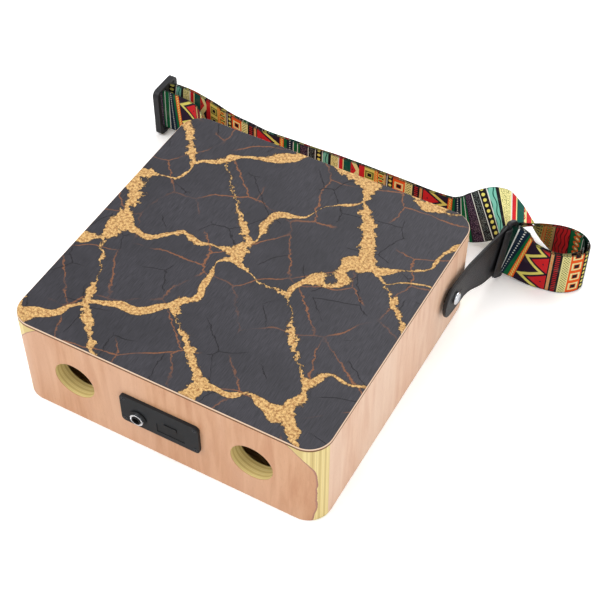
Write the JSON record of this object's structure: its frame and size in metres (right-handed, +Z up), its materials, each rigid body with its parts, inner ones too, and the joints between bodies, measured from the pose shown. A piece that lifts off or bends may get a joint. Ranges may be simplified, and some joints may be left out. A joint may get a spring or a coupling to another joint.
{
  "type": "cajon",
  "caption": "Flat travel cajon: round-cornered plywood box drum with a printed playing board, front sound ports, pickup module and a woven shoulder strap.",
  "frame": {"origin": "middle of the underside of the box, at the surface it rests on", "axes": "+X along the front to the player's right as seen from the front, +Y from the front wall with the ports to the rear wall, +Z up through the playing board"},
  "size_m": [0.4714, 0.4119, 0.1],
  "materials": {
    "printed_board": "matt printed birch ply, gold seams",
    "face_veneer": "satin lacquered ply",
    "side_veneer": "satin lacquered ply",
    "base_ply": "plain ply",
    "pine": "raw softwood",
    "plated_steel": "zinc plated",
    "snare_steel": "bright drawn",
    "brass": "rolled",
    "lead_jacket": "smooth",
    "clip_nylon": "moulded",
    "pickup_black": "fine moulded texture",
    "black_screw": "blackened",
    "case_black": "moulded",
    "board_green": "solder mask",
    "chrome": "polished",
    "washer_black": "smooth",
    "drawer_black": "fine moulded texture",
    "cell_steel": "brushed",
    "spring_plate": "plated",
    "felt_black": "pressed felt",
    "leather_black": "smooth grain, stitched",
    "ring_black": "smooth",
    "webbing": "printed bands on tight polyester weave"
  },
  "bodies": {
    "box": {"tapa": "printed_board", "front_wall": "face_veneer", "rear_wall": "face_veneer", "left_wall": "side_veneer", "right_wall": "side_veneer", "base_board": "base_ply", "corner_blocks": "pine", "snare_rail": "pine", "snare_plates": "plated_steel", "snare_wires": "snare_steel", "snare_screws": "plated_steel", "piezo_disc": "brass", "piezo_lead": "lead_jacket", "lead_clips": "clip_nylon", "pickup_plate": "pickup_black", "plate_screws": "black_screw", "pickup_case": "case_black", "circuit_board": "board_green", "jack_sleeve": "washer_black", "jack_washer": "washer_black", "jack_nut": "chrome", "jack_body": "case_black", "jack_springs": "brass", "cell_contacts": "spring_plate", "button_left": "chrome", "button_right": "chrome", "button_screws": "plated_steel", "felt_washers": "felt_black"},
    "strap": {"tab_left": "leather_black", "tab_right": "leather_black", "strap_ring": "ring_black", "strap_slider": "ring_black", "webbing_loop": "webbing", "webbing_twist": "webbing", "webbing_back": "webbing", "webbing_rear_left": "webbing", "webbing_tail": "webbing"},
    "drawer": {"battery_drawer": "drawer_black", "coin_cell": "cell_steel"}
  },
  "joints": [
    {"name": "strap_swing", "type": "hinge", "parent": "box", "child": "strap", "pos_m": [0, 0.096, 0.05], "axis": [1, 0, 0], "range_deg": [0, 148]},
    {"name": "drawer_slide", "type": "slide", "parent": "box", "child": "drawer", "axis": [0, -1, 0], "range_m": [0, 0.022]}
  ]
}
